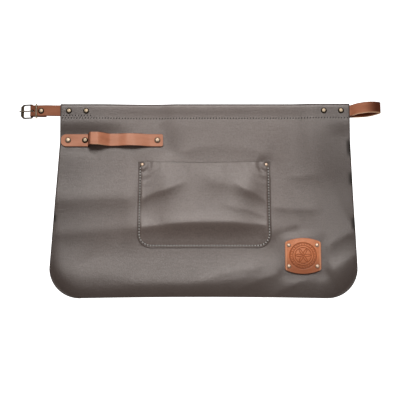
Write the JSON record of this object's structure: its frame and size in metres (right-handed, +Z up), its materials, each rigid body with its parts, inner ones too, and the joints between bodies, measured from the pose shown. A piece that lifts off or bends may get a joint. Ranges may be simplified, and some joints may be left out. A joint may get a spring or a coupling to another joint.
{
  "type": "leather waist apron",
  "caption": "Short leather work apron lying flat: hemmed panel with rounded lower corners, wide pocket, riveted towel strap and patch, buckle strap and folded-back waist strap.",
  "frame": {"origin": "middle of the apron's outline on the surface that it lies on", "axes": "+X towards the long waist strap, +Y towards the hem, +Z up from the surface, out of the apron's front"},
  "size_m": [0.766, 0.4223, 0.0264],
  "materials": {
    "apron_leather": "grey-brown pull-up leather, soft sheen",
    "strap_leather": "cognac vegetable-tanned leather, satin",
    "patch_leather": "cognac leather, embossed, satin",
    "aged_brass": "antique brass, dark in its corners"
  },
  "bodies": {
    "apron": {"apron_panel": "apron_leather", "pocket": "apron_leather", "towel_strap": "strap_leather", "patch": "patch_leather", "buckle_strap": "strap_leather", "waist_strap": "strap_leather", "rivet_hem_left_outer": "aged_brass", "rivet_hem_left_inner": "aged_brass", "rivet_hem_right_outer": "aged_brass", "rivet_hem_right_inner": "aged_brass", "rivet_buckle_strap": "aged_brass", "rivet_towel_left": "aged_brass", "rivet_towel_middle": "aged_brass", "rivet_towel_right": "aged_brass", "rivet_pocket_left": "aged_brass", "rivet_pocket_right": "aged_brass", "rivet_patch_upper_left": "aged_brass", "rivet_patch_upper_right": "aged_brass", "rivet_patch_lower_left": "aged_brass", "rivet_patch_lower_right": "aged_brass"},
    "buckle": {"buckle_frame": "aged_brass"},
    "prong": {"buckle_prong": "aged_brass"},
    "keeper": {"strap_keeper": "aged_brass"}
  },
  "joints": [
    {"name": "buckle_swing", "type": "hinge", "parent": "apron", "child": "buckle", "pos_m": [-0.3567, 0.1943, 0.00495], "axis": [0, 1, 0], "range_deg": [-30, 40]},
    {"name": "prong_swing", "type": "hinge", "parent": "buckle", "child": "prong", "pos_m": [-0.3567, 0.1943, 0.00495], "axis": [0, 1, 0], "range_deg": [0, 70]},
    {"name": "keeper_slide", "type": "slide", "parent": "apron", "child": "keeper", "axis": [1, 0, 0], "range_m": [-0.0015, 0.002]}
  ]
}
